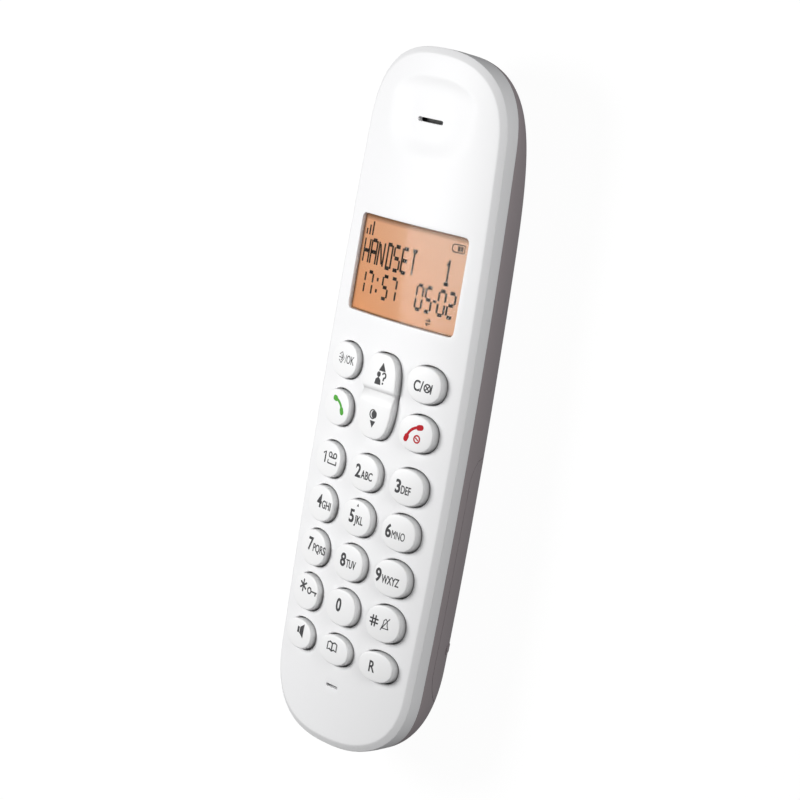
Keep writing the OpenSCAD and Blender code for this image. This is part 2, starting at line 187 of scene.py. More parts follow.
def normals_of(loop):
    """Outward normals of a closed counter-clockwise loop."""
    ahead = np.roll(loop, -1, axis=0) - np.roll(loop, 1, axis=0)
    out = np.column_stack([ahead[:, 1], -ahead[:, 0]])
    return out / np.linalg.norm(out, axis=1)[:, None]


def inset(loop, distance):
    return loop - normals_of(loop) * distance


def oval(x, y, w, h, power=KEY_POWER, count=72):
    """A rounded oval, evenly spaced, counter-clockwise."""
    turn = np.linspace(0, 2 * pi, 720, endpoint=False)
    c, s = np.cos(turn), np.sin(turn)
    across = x + np.sign(c) * w / 2 * np.abs(c) ** (2 / power)
    along = y + np.sign(s) * h / 2 * np.abs(s) ** (2 / power)
    return resampled(np.column_stack([across, along]), count, closed=True)


def rounded_rect(x, y, w, h, r, count=160):
    """A rectangle with round corners, counter-clockwise."""
    rim = []
    for k, (sx, sy) in enumerate([(1, 1), (-1, 1), (-1, -1), (1, -1)]):
        rim += arc(x + sx * (w / 2 - r), y + sy * (h / 2 - r), r, k * 90, k * 90 + 90, 24)
    return resampled(rim, count, closed=True)


def slot_outline(y, size, count=48):
    """A slot across the middle with fully round ends."""
    return rounded_rect(0, y, *size, size[1] / 2 - 0.001, count)


def inside(points, loop):
    """Which points lie inside a closed loop."""
    x, y = points.T
    result = np.zeros(len(points), bool)
    for (x0, y0), (x1, y1) in zip(loop, np.roll(loop, -1, axis=0)):
        if y0 != y1:
            result ^= ((y0 > y) != (y1 > y)) & (x < (x1 - x0) * (y - y0) / (y1 - y0) + x0)
    return result


def filled(outer, spacing, holes=(), dense=(), dense_spacing=0.5):
    """Triangles over the inside of outer without the holes, closer together in the dense zones.

    The loops' points come first, in order.
    """
    loops = [outer, *holes]
    edges, start = [], 0
    for loop in loops:
        n = len(loop)
        edges += [(start + i, start + (i + 1) % n) for i in range(n)]
        start += n
    rim = np.vstack(loops)
    tree = KDTree(len(rim))
    for i, p in enumerate(rim):
        tree.insert((*p, 0), i)
    tree.balance()

    def grid(step, zone):
        """A triangular grid over a zone, clear of the rim."""
        low, high = zone.min(0), zone.max(0)
        xs = np.arange(low[0], high[0], step)
        ys = np.arange(low[1], high[1], step * sqrt(3) / 2)
        x, y = np.meshgrid(xs, ys)
        x = x + np.where(np.arange(len(ys)) % 2, step / 2, 0)[:, None]
        points = np.column_stack([x.ravel(), y.ravel()])
        return points[np.array([tree.find((*p, 0))[2] > 0.62 * step for p in points], bool)]

    points = grid(spacing, outer)
    for zone in dense:
        more = grid(dense_spacing, zone)
        points = np.vstack([points[~inside(points, zone)], more[inside(more, zone)]])
    points = points[inside(points, outer)]
    for hole in holes:
        points = points[~inside(points, hole)]
    everything = np.vstack([rim, points])
    result = delaunay_2d_cdt([Vector(p) for p in everything], edges, [], 0, 1e-7)
    if len(result[0]) != len(everything):
        raise RuntimeError("an outline crosses itself or another one")
    order = [origin[0] for origin in result[3]]
    triangles = np.array([[order[i] for i in face] for face in result[2]])
    centres = everything[triangles].mean(axis=1)
    keep = inside(centres, outer)
    for hole in holes:
        keep &= ~inside(centres, hole)
    return everything, triangles[keep]


# ---- surfaces ----


def crown(x):
    """Height of the crowned face."""
    return FACE_TOP - CROWN_R + np.sqrt(CROWN_R**2 - np.asarray(x) ** 2)


def smooth(t):
    t = np.clip(t, 0, 1)
    return t * t * (3 - 2 * t)


DISH_SIZE = (29.0, 18.6)
DISH_Y = EAR_Y + 0.2
DISH_DEPTH = 0.6
DISH_CREASE = (4.2, 1.9)  # width and power of its slope at the top
DISH_SOFT = 5.5  # width of its slope at the foot
DISH_BLEND = (0.5, 7.0)  # where the one turns into the other, and over what length


def dish(x, y):
    """Depth of the scoop round the earpiece: a crease at the top, a soft rim at the foot."""
    across = np.abs(x / (DISH_SIZE[0] / 2)) ** DISH_POWER
    along = np.abs((y - DISH_Y) / (DISH_SIZE[1] / 2)) ** DISH_POWER
    edge = (1 - (across + along) ** (1 / DISH_POWER)) * DISH_SIZE[1] / 2
    creased = 1 - (1 - np.clip(edge / DISH_CREASE[0], 0, 1)) ** DISH_CREASE[1]
    soft = smooth(edge / DISH_SOFT)
    upper = smooth((y - DISH_Y - DISH_BLEND[0]) / DISH_BLEND[1])
    return DISH_DEPTH * (upper * creased + (1 - upper) * soft)


def face(x, y):
    return crown(x) - dish(x, y)


NAV_STEP_Y = middle("key_navigation")[1] + 1.3
NAV_STEP = 0.6
NAV_FALL = 0.7
NAV_RAMP = 2.6


def nav_step(y):
    """Depth of the step across the navigation key: a short fall, then a long ramp up."""
    fall = smooth((NAV_STEP_Y + NAV_FALL / 2 - y) / NAV_FALL)
    ramp = smooth((NAV_STEP_Y - NAV_FALL / 2 - y) / NAV_RAMP)
    return NAV_STEP * (fall - ramp)


# ---- making pieces ----


def linked(name, data):
    """A new object in the scene."""
    made = bpy.data.objects.new(name, data)
    scene.collection.objects.link(made)
    return made


def new_object(name, points, faces, *materials, weld=True):
    """An object from points and faces, with its normals turned outwards."""
    mesh = bpy.data.meshes.new(name)
    mesh.from_pydata((np.asarray(points, float) * MM).tolist(), [], [list(map(int, f)) for f in faces])
    shape = bmesh.new()
    shape.from_mesh(mesh)
    if weld:
        bmesh.ops.remove_doubles(shape, verts=shape.verts, dist=1e-8)
    bmesh.ops.recalc_face_normals(shape, faces=shape.faces)
    shape.to_mesh(mesh)
    shape.free()
    for m in materials:
        mesh.materials.append(m)
    return linked(name, mesh)


def shade(piece, angle=32):
    piece.data.polygons.foreach_set("use_smooth", [True] * len(piece.data.polygons))
    piece.data.set_sharp_from_angle(angle=radians(angle))
    piece.data.update()


def place(piece, body, slot, *nodes, angle=32):
    """Shades a finished piece, sets it on its body and hides the CAD parts that it stands for."""
    shade(piece, angle)
    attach(piece, body)
    if nodes:
        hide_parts(*nodes)


def strip(a, b):
    """Quads between two loops of the same length, given by their first index and length."""
    (i, n), (j, m) = a, b
    assert n == m
    return [(i + k, i + (k + 1) % n, j + (k + 1) % n, j + k) for k in range(n)]


class Solid:
    """Points and faces of one closed body, gathered loop by loop."""

    def __init__(self):
        self.points = []
        self.faces = []

    def loop(self, flat, z):
        start = len(self.points)
        self.points += [(x, y, h) for (x, y), h in zip(flat, np.broadcast_to(z, len(flat)))]
        return start, len(flat)

    def join(self, a, b):
        self.faces += strip(a, b)

    def walls(self, above, rings):
        """Walls from a loop down through others, each a flat outline and its height. Returns the last."""
        for flat, z in rings:
            lower = self.loop(flat, z)
            self.join(above, lower)
            above = lower
        return above

    def surface(self, flat, triangles, z):
        """A filled region. Returns its first index."""
        start = self.loop(flat, z)[0]
        self.faces += [tuple(start + i for i in t) for t in triangles]
        return start

    def made(self, name, used):
        return new_object(name, self.points, self.faces, used)


def boolean(piece, cutter, operation="DIFFERENCE"):
    """Cuts a piece with another, or keeps what they share. The other one is deleted."""
    modifier = piece.modifiers.new(operation, "BOOLEAN")
    modifier.operation = operation
    modifier.solver = "EXACT"
    modifier.object = cutter
    apply_modifiers(piece)
    bpy.data.objects.remove(cutter)


def apply_modifiers(piece):
    """Turns what the modifiers show into the piece's own mesh."""
    bpy.context.view_layer.update()
    graph = bpy.context.evaluated_depsgraph_get()
    mesh = bpy.data.meshes.new_from_object(piece.evaluated_get(graph))
    piece.modifiers.clear()
    piece.data = mesh


# ---- materials ----


def material(name):
    made = bpy.data.materials.new(name)
    made.use_nodes = True
    tree = made.node_tree
    return made, tree, tree.nodes["Principled BSDF"]


def on_piece(tree):
    return tree.nodes.new("ShaderNodeTexCoord").outputs["Object"]


def noise(tree, scale, detail=2.0, stretch=1.0):
    """Fine noise that is fixed to the piece, scale in features a millimetre."""
    where = on_piece(tree)
    if stretch != 1:
        stretched = tree.nodes.new("ShaderNodeMapping")
        stretched.inputs["Scale"].default_value = (1, stretch, 1)
        feed(stretched, "Vector", where)
        where = stretched.outputs["Vector"]
    texture = tree.nodes.new("ShaderNodeTexNoise")
    texture.inputs["Scale"].default_value = scale / MM
    texture.inputs["Detail"].default_value = detail
    feed(texture, "Vector", where)
    return texture.outputs["Fac"]


def mixed(tree, value, low, high):
    """A colour between two others, each a colour or another node's, by a value from 0 to 1."""
    mix = tree.nodes.new("ShaderNodeMix")
    mix.data_type = "RGBA"
    for socket, colour in ((mix.inputs[6], low), (mix.inputs[7], high)):
        if isinstance(colour, bpy.types.NodeSocket):
            tree.links.new(colour, socket)
        else:
            socket.default_value = (*colour, 1)
    feed(mix, 0, value)
    return mix.outputs[2]


def feed(node, socket, source):
    """Links another node's output to a socket of this one."""
    node.id_data.links.new(source, node.inputs[socket])


def combined(tree, operation, a, b):
    """Two numbers, added or multiplied."""
    node = tree.nodes.new("ShaderNodeMath")
    node.operation = operation
    feed(node, 0, a)
    feed(node, 1, b)
    return node.outputs[0]


def mapped(tree, value, low, high, from_low=0.3, from_high=0.7):
    """A number stretched to a new range."""
    node = tree.nodes.new("ShaderNodeMapRange")
    limits = {"From Min": from_low, "From Max": from_high, "To Min": low, "To Max": high}
    for socket, number in limits.items():
        node.inputs[socket].default_value = number
    feed(node, "Value", value)
    return node.outputs["Result"]


def dimmed(tree, colour, share):
    """A colour at a share of its strength."""
    node = tree.nodes.new("ShaderNodeVectorMath")
    node.operation = "SCALE"
    node.inputs["Scale"].default_value = share
    feed(node, 0, colour)
    return node.outputs["Vector"]


def bump(tree, shader, height, depth):
    """Bumps of a depth in millimetres."""
    node = tree.nodes.new("ShaderNodeBump")
    node.inputs["Strength"].default_value = 1.0
    node.inputs["Distance"].default_value = depth * MM
    feed(node, "Height", height)
    feed(shader, "Normal", node.outputs["Normal"])


def moulded(name, colour, roughness, grain, depth, spread=0.02, specular=0.5, foot=None):
    """Moulded plastic: an even colour with a faint mottle, a fine grain and uneven gloss.

    Foot is a painted shade: the colour that it turns to where the mesh's "rise" attribute falls to 0, so a
    wall darkens towards its foot where shade falls.
    """
    made, tree, shader = material(name)
    cloudy = noise(tree, 0.08, 3)
    fine = noise(tree, grain, 3)
    low, high = (np.clip(np.array(colour) * (1 + sign * spread), 0, 1) for sign in (-1, 1))
    tint = mixed(tree, cloudy, low, high)
    if foot is not None:
        rise = tree.nodes.new("ShaderNodeAttribute")
        rise.attribute_name = "rise"
        tint = mixed(tree, rise.outputs["Fac"], foot, tint)
    feed(shader, "Base Color", tint)
    uneven = mapped(tree, fine, roughness - 0.04, roughness + 0.04)
    feed(shader, "Roughness", uneven)
    shader.inputs["Specular IOR Level"].default_value = specular
    bump(tree, shader, fine, depth)
    return made


def printed(name, colour):
    return moulded(name, colour, 0.6, grain=12, depth=0.001, specular=0.1)


def metal(name, colour, roughness):
    """Drawn or plated metal with fine scratches one way."""
    made, tree, shader = material(name)
    scratches = noise(tree, 1, 4, stretch=12)
    colour = np.array(colour)
    tint = mixed(tree, scratches, colour * 0.88, np.clip(colour * 1.08, 0, 1))
    feed(shader, "Base Color", tint)
    uneven = mapped(tree, scratches, roughness - 0.08, roughness + 0.1)
    feed(shader, "Roughness", uneven)
    shader.inputs["Metallic"].default_value = 1.0
    bump(tree, shader, scratches, 0.003)
    return made


def clear_window():
    """Clear plastic, so thin that it hardly bends the light."""
    made, tree, shader = material("window_clear")
    feed(shader, "Roughness", mapped(tree, noise(tree, 0.4), 0.06, 0.12))
    shader.inputs["Base Color"].default_value = (1, 0.985, 0.97, 1)
    shader.inputs["Transmission Weight"].default_value = 1.0
    shader.inputs["IOR"].default_value = 1.1
    return made


def lit_display():
    """The lit amber panel, with a painted reflection that makes it paler towards the earpiece and the right,
    and dark rims of painted shadow along the window's edges.
    """
    made, tree, shader = material("display_amber")
    axes = tree.nodes.new("ShaderNodeSeparateXYZ")
    feed(axes, "Vector", on_piece(tree))
    (x0, y0), (x1, y1) = WINDOW_LOW[:2], WINDOW_HIGH[:2]
    # painted reflection: paler towards the right and towards the earpiece
    across = mapped(tree, axes.outputs["X"], 0, REFLECTION_ACROSS, x0 * MM, x1 * MM)
    along = mapped(tree, axes.outputs["Y"], 0, 1 - REFLECTION_ACROSS, y0 * MM, y1 * MM)
    lit = mixed(tree, combined(tree, "ADD", across, along), DISPLAY_DEEP, DISPLAY_PALE_REFLECTION)
    # painted shadow: dark rims along the edges, where the window's recessed edge shades the panel
    unshadowed = None
    for axis, edge, width in zip("XXYY", (x0, x1, y0, y1), RIM_SHADOW_WIDTHS):
        near, far = sorted((edge * MM, (edge + width) * MM))
        low, high = (0, 1) if width > 0 else (1, 0)
        part = mapped(tree, axes.outputs[axis], low, high, near, far)
        unshadowed = part if unshadowed is None else combined(tree, "MULTIPLY", unshadowed, part)
    feed(shader, "Emission Color", mixed(tree, unshadowed, DISPLAY_RIM_SHADOW, lit))
    shader.inputs["Emission Strength"].default_value = DISPLAY_GLOW
    sheen = mixed(tree, unshadowed, (0, 0, 0), dimmed(tree, lit, DISPLAY_SHEEN))
    feed(shader, "Base Color", sheen)
    feed(shader, "Roughness", mapped(tree, noise(tree, 3), 0.3, 0.4))
    shader.inputs["Specular IOR Level"].default_value = 0.0
    return made


def circuit_board():
    """Green solder mask with paler copper runs under it."""
    made, tree, shader = material("board_mask")
    texture = tree.nodes.new("ShaderNodeTexBrick")
    texture.inputs["Scale"].default_value = 0.35 / MM
    texture.inputs["Mortar Size"].default_value = 0.05
    mask, paler, copper = (0.012, 0.10, 0.04, 1), (0.016, 0.13, 0.05, 1), (0.05, 0.24, 0.1, 1)
    for socket, colour in (("Color1", mask), ("Color2", paler), ("Mortar", copper)):
        texture.inputs[socket].default_value = colour
    feed(texture, "Vector", on_piece(tree))
    feed(shader, "Base Color", texture.outputs["Color"])
    feed(shader, "Roughness", mapped(tree, texture.outputs["Fac"], 0.3, 0.45, 0, 1))
    bump(tree, shader, texture.outputs["Fac"], 0.02)
    return made


DISPLAY_DEEP = (0.80, 0.36, 0.165)
# painted reflection: the paler colour that the panel turns to towards the earpiece and the right
DISPLAY_PALE_REFLECTION = (0.78, 0.50, 0.35)
# painted shadow: the colour of the dark rims along the window's edges
DISPLAY_RIM_SHADOW = (0.16, 0.07, 0.035)
DISPLAY_GLOW = 0.66
DISPLAY_SHEEN = 0.25
REFLECTION_ACROSS = 0.62  # the share of the paling that runs across, the rest runs along
# painted shadow of the window's recessed edge, widest at the top and left
RIM_SHADOW_WIDTHS = (0.9, -0.4, 0.45, -1.4)  # dark rims: left, right, foot and top, each inwards

WHITE = moulded("shell_white", (0.86, 0.86, 0.865), 0.42, 5, 0.0016, 0.006, 0.25)
# the keys' white, turning to a painted shade (foot) down their side walls
KEY_WHITE_PAINTED_SHADE = moulded("key_white_painted_shade", (0.88, 0.88, 0.88), 0.4, 6, 0.0012, 0.006, 0.3, foot=(0.10, 0.10, 0.104))
TAUPE = moulded("shell_taupe", (0.365, 0.318, 0.329), 0.55, 4, 0.006, 0.03)
INK = printed("legend_ink", (0.07, 0.07, 0.073))
GREEN_INK = printed("legend_green", (0.09, 0.38, 0.05))
RED_INK = printed("legend_red", (0.5, 0.01, 0.02))
SEGMENT = printed("display_segment", (0.012, 0.008, 0.006))
DARK_TRIM = moulded("dark_trim", (0.03, 0.03, 0.03), 0.5, 6, 0.003)
RUBBER = moulded("black_rubber", (0.022, 0.022, 0.022), 0.7, 3, 0.008)
SILICONE = moulded("milky_silicone", (0.55, 0.55, 0.55), 0.55, 3, 0.006)
IVORY = moulded("ivory_plastic", (0.72, 0.71, 0.66), 0.45, 5, 0.003)
AMBER = moulded("amber_plastic", (0.8, 0.4, 0.15), 0.25, 2, 0.001)
SLEEVE = moulded("cell_sleeve", (0.03, 0.20, 0.11), 0.3, 1.5, 0.004, 0.12)
STEEL = metal("bright_steel", (0.62, 0.62, 0.63), 0.28)
GOLD = metal("gold_plate", (0.83, 0.60, 0.25), 0.25)
CONE = moulded("speaker_dark", (0.05, 0.05, 0.052), 0.6, 2, 0.01)
BOARD = circuit_board()
WINDOW_CLEAR = clear_window()
DISPLAY = lit_display()

# ---- shells ----


def arc_profile(width, height, steps):
    """Insets and drops of a rounded edge, from its outer foot to its top."""
    turn = np.linspace(0, pi / 2, steps + 1)
    return [(width * (1 - cos(a)), height * (1 - sin(a))) for a in turn]


def bent(points):
    """A line of points with its inner corners rounded. Each point is (inset, drop, radius)."""
    line = [points[0][:2]]
    for before, here, after in zip(points, points[1:], points[2:]):
        corner = np.array(here[:2])
        towards = [np.array(p[:2]) - corner for p in (before, after)]
        a, b = (corner + t / np.linalg.norm(t) * here[2] for t in towards)
        for t in np.linspace(0, 1, 6):
            line.append(tuple((1 - t) ** 2 * a + 2 * t * (1 - t) * corner + t**2 * b))
    return line + [points[-1][:2]]


FACE_START = 2.5
KEY_RIM, WINDOW_RIM, EAR_RIM, MIC_RIM = 0.3, 0.14, 0.1, 0.08  # radii of the openings' edges
INNER_STEP = 0.4
# insets and drops of the front shell's edge, each with the radius of its corner
EDGE = [(FACE_START, 0, 0), (BEVEL_W, 0, 0.25), (0, BEVEL_H, 0.14), (0.02, BEVEL_H + 1.0, 0)]
# insets of the side wall's foot, each with its height as a share of the wall
WALL_FOOT = [(0.10, 0.7), (0.26, 0.35), (REAR_INSET - 0.06, 0.06), (REAR_INSET - 0.02, 0.0)]


def front_cover():
    """The white front shell: crowned face, bevel, side wall and the openings."""
    outline = body_outline()
    solid = Solid()
    holes = [(key_outline(name, KEY_GAP), KEY_RIM) for name in KEYS]
    window = rounded_rect(*WINDOW[:2], *(WINDOW_SIZE[:2] + 2 * WINDOW_GAP), 1.2)
    holes += [(window, WINDOW_RIM), (slot_outline(EAR_Y, EAR_SLOT, 64), EAR_RIM)]
    holes += [(slot_outline(MIC_Y, MIC_SLOT), MIC_RIM)]
    rims = [inset(loop, -fillet) for loop, fillet in holes]

    face_edge = inset(outline, FACE_START)
    dish_zone = oval(0, DISH_Y, DISH_SIZE[0] + 2, DISH_SIZE[1] + 2, DISH_POWER, 90)
    flat, triangles = filled(face_edge, 1.1, rims, [dish_zone])
    top = solid.surface(flat, triangles, face(*flat.T))
    under = solid.surface(flat, triangles, crown(flat[:, 0]) - FRONT_WALL)

    # rims of the openings, rounded over and carried down through the wall
    start = len(face_edge)
    for (loop, fillet), rim in zip(holes, rims):
        rings = []
        for width, drop in reversed(arc_profile(fillet, fillet, 5)[:-1]):
            ring = inset(rim, fillet - width)
            rings.append((ring, face(*ring.T) - drop))
        rings.append((loop, crown(loop[:, 0]) - FRONT_WALL))
        foot = solid.walls((top + start, len(rim)), rings)
        solid.join(foot, (under + start, len(rim)))
        start += len(rim)

    # bevel and side wall, outside and then inside
    rings = []
    for width, drop in bent(EDGE)[1:]:
        ring = inset(outline, width)
        rings.append((ring, crown(ring[:, 0]) - drop))
    foot_z = PARTING + SEAM
    wall_top = crown(inset(outline, EDGE[-1][0])[:, 0]) - EDGE[-1][1]
    for width, share in WALL_FOOT:
        rings.append((inset(outline, width), foot_z + share * (wall_top - foot_z - SEAM)))
    ring = inset(outline, FRONT_WALL)
    rings += [(ring, foot_z), (ring, crown(ring[:, 0]) - FRONT_WALL - INNER_STEP)]
    n = len(outline)
    solid.join(solid.walls((top, n), rings), (under, n))
    piece = solid.made("front_cover", WHITE)
    place(piece, "handset", "white_shell", "front_shell", angle=28)


# ---- keys ----

BODY_OF = {name: body for body, names in frame["record"]["behaviour"]["bodies"].items() for name in names}
KEYS = sorted(name for name in frame["nodes"] if name.startswith("key_"))


def key_place(node):
    """Middle, width, height and roundness of a key."""
    low, high = span(node)
    x, y = (low[:2] + high[:2]) / 2
    power = NAV_POWER if node == "key_navigation" else KEY_POWER
    return x, y, high[0] - low[0] - 2 * FLANGE, high[1] - low[1], power


def key_outline(node, out=0.0):
    """A key's outline, or one a little outside it."""
    x, y, w, h, power = key_place(node)
    return oval(x, y, w + 2 * out, h + 2 * out, power, 128 if node == "key_navigation" else 96)


KEY_ROUND = (0.34, 0.28)  # inset and drop of the rounding of its top edge
KEY_DOME = 0.16
FLANGE_END = 0.15  # how far the flange stands out at the key's ends


def key_surface(node):
    """The height of a key's top at a place on it."""
    x0, y0, w, h, power = key_place(node)
    step = nav_step if node == "key_navigation" else (lambda y: 0 * y)

    def top(x, y):
        out = np.abs((x - x0) / (w / 2)) ** power + np.abs((y - y0) / (h / 2)) ** power
        return crown(x) + KEY_RISE - KEY_DOME * np.clip(out, 0, 1) - step(y)

    return top


def key_cap(node):
    """A key: rounded top that follows the face, side wall, and the flange that holds it in."""
    loop = key_outline(node)
    top = key_surface(node)
    solid = Solid()
    edge = inset(loop, KEY_ROUND[0])
    flat, triangles = filled(edge, 0.4 if node == "key_navigation" else 0.8)
    rings = []
    for width, drop in reversed(arc_profile(*KEY_ROUND, 8)[:-1]):
        ring = inset(loop, width)
        rings.append((ring, top(*ring.T) - drop))
    tab, reach, base_inset = KEY_BASE + FLANGE_T, FLANGE - 0.1, 1.2
    for out, z in [(0.0, tab), (reach, tab), (reach, KEY_BASE), (-base_inset, KEY_BASE)]:
        rings.append((loop + normals_of(loop) * [out, min(out, FLANGE_END)], z))
    foot = solid.walls((solid.surface(flat, triangles, top(*flat.T)), len(edge)), rings)
    flat, triangles = filled(inset(loop, base_inset), 2.0)
    solid.join(foot, (solid.surface(flat, triangles, KEY_BASE), len(edge)))
    piece = solid.made(node.replace("key_", "cap_"), KEY_WHITE_PAINTED_SHADE)
    # painted shade: "rise" falls from 1 near the key's top to 0 at its wall's foot, where the wall turns to
    # the dark foot colour
    rise = piece.data.attributes.new("rise", "FLOAT", "POINT")
    for v in piece.data.vertices:
        above = float(v.co.z / MM - crown(v.co.x / MM))
        rise.data[v.index].value = min(max((above + 0.3) / (KEY_RISE + 0.1), 0), 1)
    place(piece, BODY_OF[node], "key_plastic", node, angle=40)


# ---- rear shell and door ----


def fall(depth, full, power):
    """Rest of an oval section at a depth."""
    return max(1 - (depth / full) ** power, 0) ** (1 / power) if depth < full else 0.0


REAR_LEVELS = 46
LEVEL_POWER = 1.35  # sets the levels closer together near the parting line
NARROWEST = 0.004
BACK_SOFT = 0.4  # rounding of the edge of the flat back, and how far it is let down for that
BACK_SINK = 0.03


def rear_solid(name, inner):
    """The body under the parting line, a distance inside its outer surface."""
    ring = inset(body_outline(REAR_POINTS), REAR_INSET + inner)
    far = HALF_L - REAR_INSET - inner
    deep, full = REAR_DEPTH - inner, PARTING + 0.02 - inner
    rings = []
    for depth in deep * np.sin(np.linspace(0, 1, REAR_LEVELS) * pi / 2) ** LEVEL_POWER:
        narrowing = max(fall(depth, deep, REAR_POWER), NARROWEST)
        top = BACK_RISE_Y + (far - BACK_RISE_Y) * fall(depth, full, BACK_RISE_POWER)
        low = far - CHIN_IN * (1 - fall(depth, full, CHIN_POWER))
        shortening = (top + low) / (2 * far)
        level = np.column_stack([ring[:, 0] * narrowing, (ring[:, 1] + far) * shortening - low])
        above = PARTING - depth - inner
        z = inner + (above + hypot(above, BACK_SOFT)) / 2 - BACK_SINK
        rings.append((level, min(z, PARTING)))
    solid = Solid()
    first = solid.loop(*rings[0])
    last, n = solid.walls(first, rings[1:])
    for k in range(n // 2):
        solid.faces.append((last + k, last + k + 1, last + (n - k - 1) % n, last + (n - k) % n))
    solid.faces.append(tuple(range(n)))
    return solid.made(name, TAUPE)


BAY_X = 11.2
BAY_END = 25.1
BAY_WALL = 1.2
BAY_LOW = 5.6
BAY_ROOF = 12.3
ROOF_T = 0.7
BAY_RIB = (4.0, 0.9)
BAY_RIB_LOW = 9.1
BAY_RIB_PITCH = 15
FLOOR_INSET = 3.5
FLOOR_PAST = 1.6  # how far the floor runs past the door at each end
LAP = 0.1  # how far pieces that are one in the real thing run into each other
CELL_Y = (DOOR_LOW[1] + DOOR_HIGH[1]) / 2


def battery_bay():
    """The floor and walls that hold the cells, seen when the door is off."""
    ring = inset(body_outline(REAR_POINTS), FLOOR_INSET)
    ring[:, 1] = np.clip(ring[:, 1], DOOR_LOW[1] - FLOOR_PAST, DOOR_HIGH[1] + FLOOR_PAST)
    parts = [prism("bay_floor", resampled(ring, 160, closed=True), BAY_ROOF, BAY_ROOF + ROOF_T)]
    top = BAY_ROOF + LAP
    for s in (-1, 1):
        wall_x, rib_x = s * (BAY_X + BAY_WALL / 2), s * (BAY_X + BAY_WALL + BAY_RIB[0] / 2)
        parts.append(block("bay_side", wall_x, CELL_Y, BAY_WALL, 2 * BAY_END, BAY_LOW, top))
        end = (2 * (BAY_X + BAY_WALL), BAY_WALL)
        parts.append(block("bay_end", 0, CELL_Y + s * BAY_END, *end, BAY_LOW, top))
        for k in (-1, 0, 1):
            parts.append(block("bay_rib", rib_x, CELL_Y + k * BAY_RIB_PITCH, *BAY_RIB, BAY_RIB_LOW, top))
    place(joined("battery_bay", parts), "handset", "grey_shell", angle=30)


def block(name, x, y, w, h, z0, z1, soft=0.2):
    """A box with softened edges."""
    piece = prism(name, rectangle(x, y, w, h), z0, z1)
    rounding = piece.modifiers.new("soft", "BEVEL")
    rounding.width = soft * MM
    rounding.segments = 3
    apply_modifiers(piece)
    return piece


def joined(name, parts):
    """Several objects as one piece."""
    mesh = bmesh.new()
    for part in parts:
        mesh.from_mesh(part.data)
    whole = bpy.data.meshes.new(name)
    mesh.to_mesh(whole)
    mesh.free()
    for m in parts[0].data.materials:
        whole.materials.append(m)
    for part in parts:
        bpy.data.objects.remove(part)
    return linked(name, whole)


def round_block(x, y, r, z0, z1):
    return prism("round", arc(x, y, r, 0, 360, 49)[:-1], z0, z1)


def prism(name, flat, z0, z1):
    """An upright block of any outline."""
    solid = Solid()
    start, n = solid.walls(solid.loop(flat, z0), [(flat, z1)])
    solid.faces += [tuple(range(n)), tuple(range(start, start + n))]
    return solid.made(name, TAUPE)


def door_block(gap):
    """The block, rounded at its upper corners, that parts the door from the rear shell."""
    top_r, low_r = (r + gap for r in DOOR_ROUND)
    height = DOOR_HIGH[2] + gap
    y0, y1, under = DOOR_LOW[1] - gap, DOOR_HIGH[1] + gap, -3.0
    side = [(y0, under), *arc(y0 + low_r, height - low_r, low_r, 180, 90, 13)]
    side += [*arc(y1 - top_r, height - top_r, top_r, 90, 0, 17), (y1, under)]
    n = len(side)
    points = [(x, y, z) for x in (-2 * HALF_W, 2 * HALF_W) for y, z in side]
    faces = [*strip((0, n), (n, n)), tuple(range(n)), tuple(range(n, 2 * n))]
    return new_object("door_block", points, faces)


UNDER = -1.0  # a height under the body, where cuts from below begin
SCREW_HOLE_TOP = 9.5
SCREW_TUBE = (2.6, 12.8)
POCKET = (5.1, 2.4, 4.7)  # pockets of the charge contacts: size, middle, turns
POCKET_AT = (7, -74.5, 8.6)
POCKET_TILT = 24
POCKET_TURN = 13.5


def rear_cover():
    """The taupe rear shell, open where the door sits."""
    piece = rear_solid("rear_cover", 0)
    boolean(piece, rear_solid("inner", REAR_WALL))
    boolean(piece, door_block(DOOR_GAP))
    for s in (-1, 1):
        boolean(piece, round_block(s * SCREW_X, SCREW_Y, SCREW_HOLE_R, UNDER, SCREW_HOLE_TOP))
    for s in (-1, 1):
        w, h, tall = POCKET
        plate = block("pocket", 0, 0, w, h, -tall / 2, tall / 2, soft=0.3)
        turned = Euler((radians(POCKET_TILT), 0, s * radians(POCKET_TURN))).to_matrix().to_4x4()
        x, y, z = POCKET_AT
        plate.data.transform(Matrix.Translation(Vector((s * x, y, z)) * MM) @ turned)
        boolean(piece, plate)
    for k in range(-2, 3):
        boolean(piece, prism("slot", slot_outline(LOUD_Y + k * LOUD_PITCH, LOUD_SLOT), UNDER, 4))
    place(piece, "handset", "grey_shell", "rear_shell", angle=24)


def screw_seats():
    """The tubes round the case screws, inside the rear shell."""
    parts = []
    for s in (-1, 1):
        tube = round_block(s * SCREW_X, SCREW_Y, SCREW_TUBE_R, *SCREW_TUBE)
        boolean(tube, round_block(s * SCREW_X, SCREW_Y, SCREW_HOLE_R, UNDER, SCREW_HOLE_TOP - LAP))
        boolean(tube, rear_solid("inner", 0.8), "INTERSECT")
        parts.append(tube)
    place(joined("screw_seats", parts), "handset", "grey_shell", angle=30)


DOOR_RIB = (1.2, 0.6, 2.4)  # width, lowest and highest
DOOR_RIB_OFF = 12


